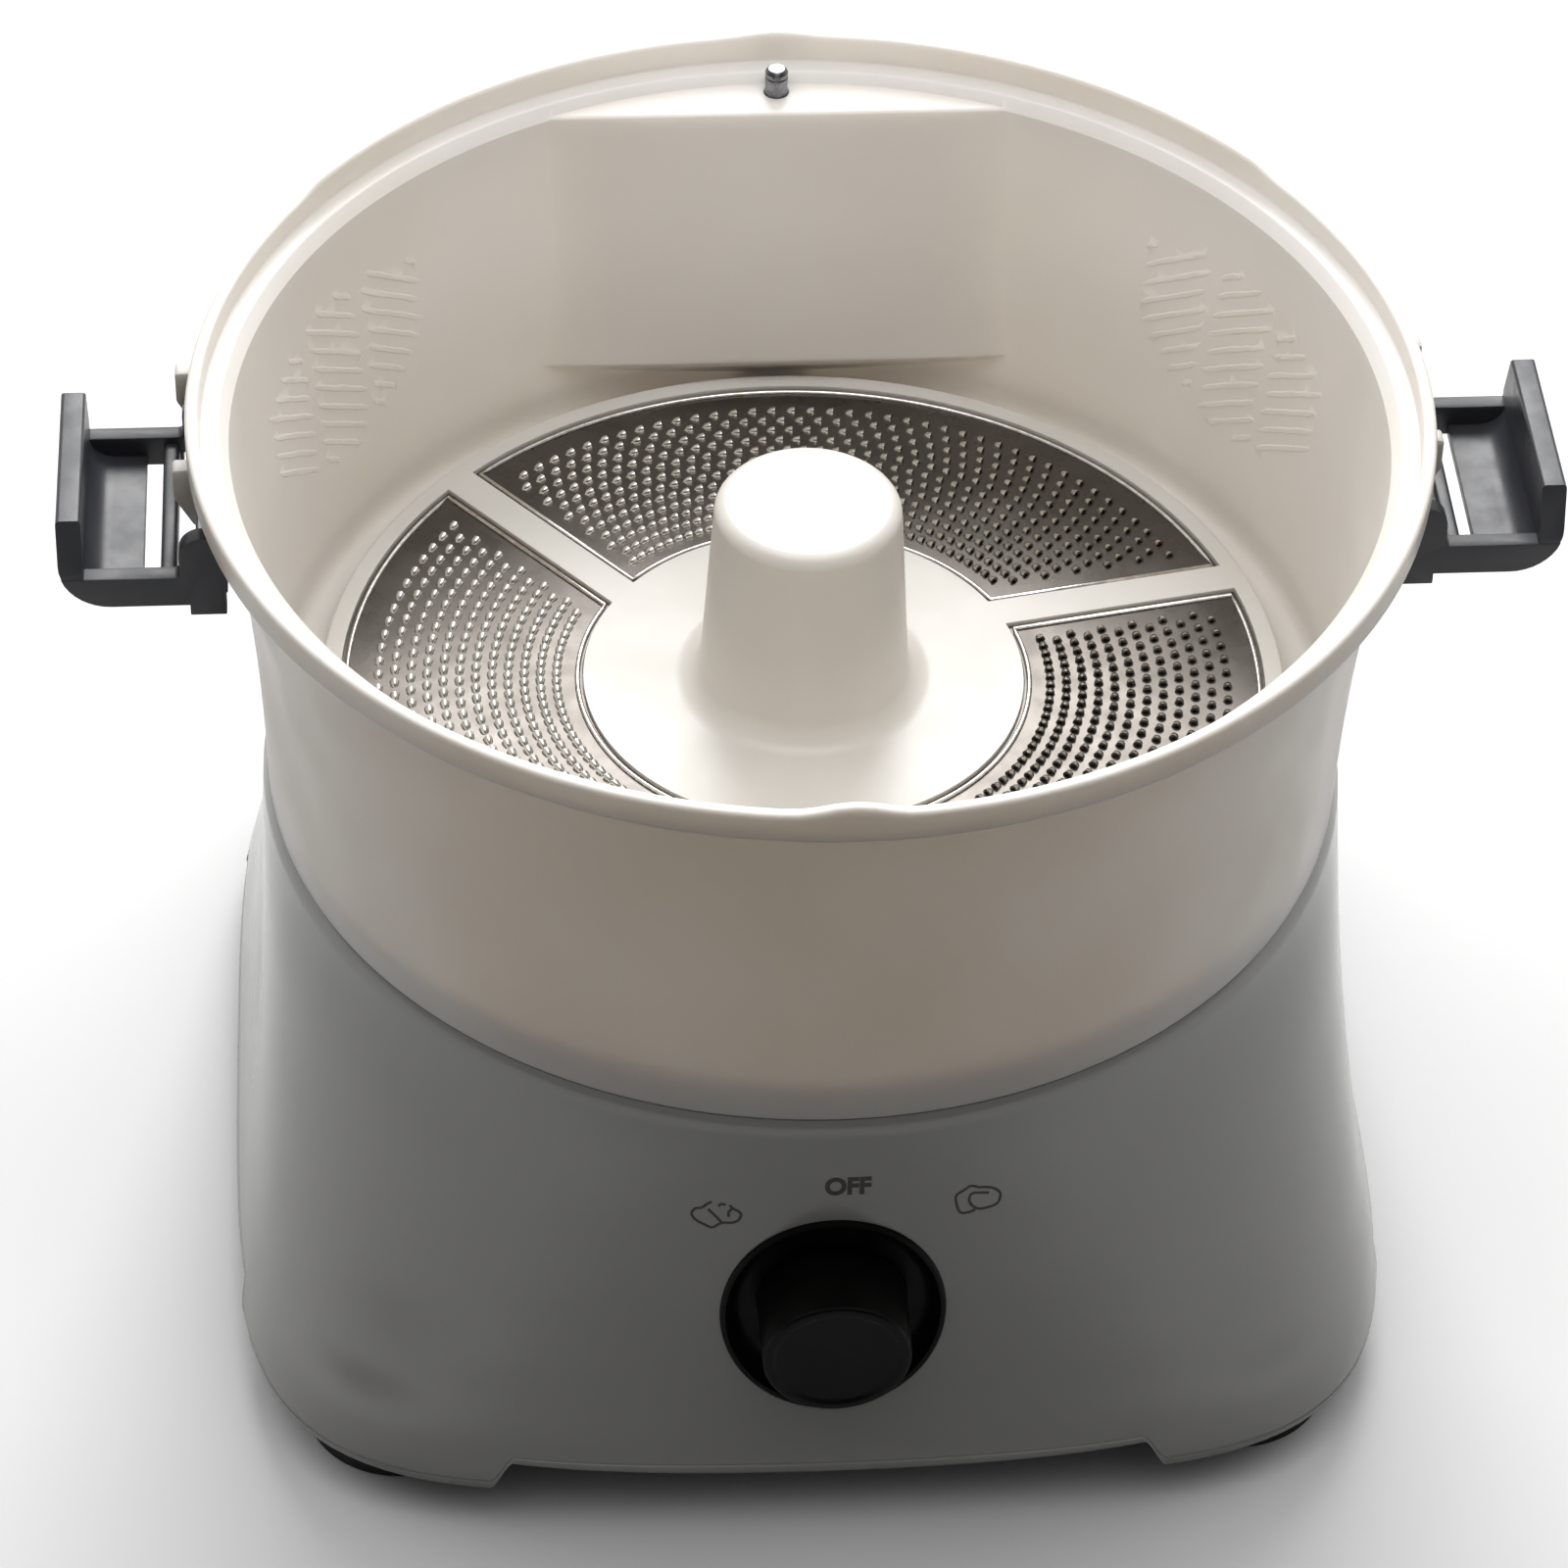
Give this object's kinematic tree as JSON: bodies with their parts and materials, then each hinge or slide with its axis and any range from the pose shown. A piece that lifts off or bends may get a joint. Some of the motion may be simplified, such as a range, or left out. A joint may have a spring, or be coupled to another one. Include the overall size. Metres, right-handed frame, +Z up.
{
  "type": "electric potato peeler",
  "caption": "Electric potato peeler, lid off: round bowl with a rotating grater disc and hub on a flared motor base with a control knob and side latches.",
  "frame": {"origin": "centre of the bounding box in plan, on the plane the feet stand on", "axes": "+Z up, -Y towards the front with the control knob, +X towards the right-hand latch; the bowl's axis is parallel to Z, 0.7 mm behind the origin"},
  "size_m": [0.2952, 0.252, 0.1972],
  "materials": {
    "bowl_plastic": "translucent off-white polypropylene, satin",
    "base_plastic": "glossy light grey-white moulding",
    "black_plastic": "black moulding, semi-gloss",
    "latch_plastic": "anthracite moulding, satin",
    "disc_plastic": "white moulding, satin",
    "rubber": "black rubber",
    "steel": "stainless or plated steel",
    "brass": "machined",
    "gear_nylon": "natural nylon",
    "board_resin": "green circuit board"
  },
  "bodies": {
    "base": {"base_housing": "base_plastic", "bottom_plate": "black_plastic", "foot_front_left": "rubber", "foot_front_right": "rubber", "foot_rear_left": "rubber", "foot_rear_right": "rubber", "base_screw_1": "steel", "base_screw_2": "steel", "base_screw_3": "steel", "base_screw_4": "steel", "upper_bush": "brass", "lower_bush": "brass", "gear_plate": "steel", "idler_pin": "steel", "motor_can": "steel", "knob_dish": "black_plastic", "rotary_switch": "black_plastic", "safety_switch": "black_plastic", "control_board": "board_resin", "cord_gland": "black_plastic"},
    "bowl": {"bowl": "bowl_plastic", "latch_pin_left": "steel", "latch_pin_right": "steel"},
    "disc": {"disc_carrier": "disc_plastic", "grater_insert_1": "steel", "grater_insert_2": "steel", "grater_insert_3": "steel"},
    "spindle": {"drive_spindle": "steel", "output_gear": "gear_nylon"},
    "idler": {"idler_gear": "gear_nylon"},
    "rotor": {"motor_shaft": "steel", "motor_pinion": "brass"},
    "knob": {"control_knob": "black_plastic", "switch_shaft": "brass"},
    "left_latch": {"latch_left": "latch_plastic"},
    "right_latch": {"latch_right": "latch_plastic"},
    "interlock": {"interlock_rod": "steel", "interlock_spring": "steel"}
  },
  "joints": [
    {"name": "bowl_lift", "type": "slide", "parent": "base", "child": "bowl", "axis": [0, 0, 1], "range_m": [0, 0.08]},
    {"name": "disc_spin", "type": "hinge", "parent": "bowl", "child": "disc", "pos_m": [0, 0.00064, 0.1225], "axis": [0, 0, 1], "continuous": true},
    {"name": "spindle_spin", "type": "hinge", "parent": "base", "child": "spindle", "pos_m": [0, 0.00064, 0.07], "axis": [0, 0, 1], "continuous": true},
    {"name": "idler_spin", "type": "hinge", "parent": "base", "child": "idler", "pos_m": [-0.048, 0.00064, 0.07], "axis": [0, 0, 1], "continuous": true},
    {"name": "rotor_spin", "type": "hinge", "parent": "base", "child": "rotor", "pos_m": [-0.06168, -0.03695, 0.07], "axis": [0, 0, 1], "continuous": true},
    {"name": "knob_turn", "type": "hinge", "parent": "base", "child": "knob", "pos_m": [0, -0.12, 0.054], "axis": [0, -1, 0], "range_deg": [-45, 45]},
    {"name": "left_latch_swing", "type": "hinge", "parent": "bowl", "child": "left_latch", "pos_m": [-0.1195, 0.00064, 0.177], "axis": [0, 1, 0], "range_deg": [0, 90]},
    {"name": "right_latch_swing", "type": "hinge", "parent": "bowl", "child": "right_latch", "pos_m": [0.1195, 0.00064, 0.177], "axis": [0, -1, 0], "range_deg": [0, 90]},
    {"name": "interlock_press", "type": "slide", "parent": "bowl", "child": "interlock", "axis": [0, 0, 1], "range_m": [-0.005, 0], "stiffness_N_per_m": 300, "springref_m": 0.003, "deforming": ["interlock_spring"]}
  ],
  "couplings": [
    {"joint": "spindle_spin", "follows": "disc_spin", "ratio": 1},
    {"joint": "idler_spin", "follows": "disc_spin", "ratio": -3},
    {"joint": "rotor_spin", "follows": "disc_spin", "ratio": 9}
  ]
}
